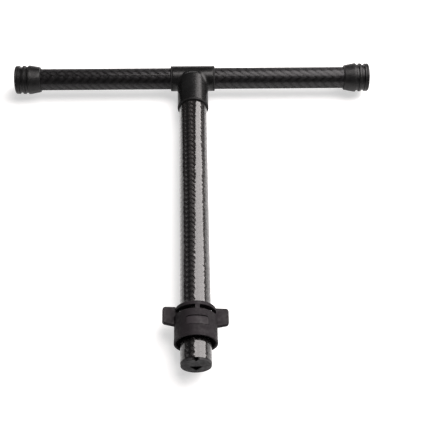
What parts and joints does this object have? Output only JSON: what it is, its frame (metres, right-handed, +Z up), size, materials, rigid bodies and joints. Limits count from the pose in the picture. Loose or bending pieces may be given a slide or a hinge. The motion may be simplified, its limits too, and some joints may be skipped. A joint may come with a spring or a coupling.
{
  "type": "t-shaped control bar",
  "caption": "T-shaped carbon tube control bar with a moulded tee, ribbed end caps and a winged union nut sliding on its stem.",
  "frame": {"origin": "centre of the bounding box on the table plane, under the lying bar", "axes": "+X along the crossbar, -Y along the stem towards its plug, +Z up from the table"},
  "size_m": [0.5, 0.4632, 0.053],
  "materials": {
    "carbon_crossbar": "gloss",
    "carbon_stem": "gloss",
    "tee_plastic": "satin",
    "ring_rubber": "matte",
    "cap_rubber": "matte",
    "bung_plastic": "matte",
    "seal_rubber": "matte",
    "foam": "matte",
    "plug_plastic": "satin",
    "ferrule_aluminium": "satin",
    "washer_plastic": "satin",
    "nut_plastic": "satin",
    "label_film": "satin",
    "snap_ring_steel": "satin"
  },
  "bodies": {
    "bar": {"crossbar_tube": "carbon_crossbar", "stem_tube": "carbon_stem", "tee_housing": "tee_plastic", "left_mouth_ring": "ring_rubber", "right_mouth_ring": "ring_rubber", "stem_mouth_ring": "ring_rubber", "left_end_cap": "cap_rubber", "right_end_cap": "cap_rubber", "left_tube_bung": "bung_plastic", "right_tube_bung": "bung_plastic", "left_bung_seal": "seal_rubber", "right_bung_seal": "seal_rubber", "stem_plug_seal": "seal_rubber", "gland_seal": "seal_rubber", "crossbar_foam_core": "foam", "stem_foam_core": "foam", "stem_top_plug": "bung_plastic", "stem_end_plug": "plug_plastic", "stem_ferrule": "ferrule_aluminium"},
    "carrier": {"slip_washer": "washer_plastic"},
    "nut": {"wing_nut": "nut_plastic", "nut_label": "label_film", "nut_snap_ring": "snap_ring_steel"}
  },
  "joints": [
    {"name": "nut_slide", "type": "slide", "parent": "bar", "child": "carrier", "axis": [0, 1, 0], "range_m": [0, 0.31]},
    {"name": "nut_turn", "type": "hinge", "parent": "carrier", "child": "nut", "pos_m": [0, -0.1736, 0.0265], "axis": [0, -1, 0], "continuous": true}
  ]
}
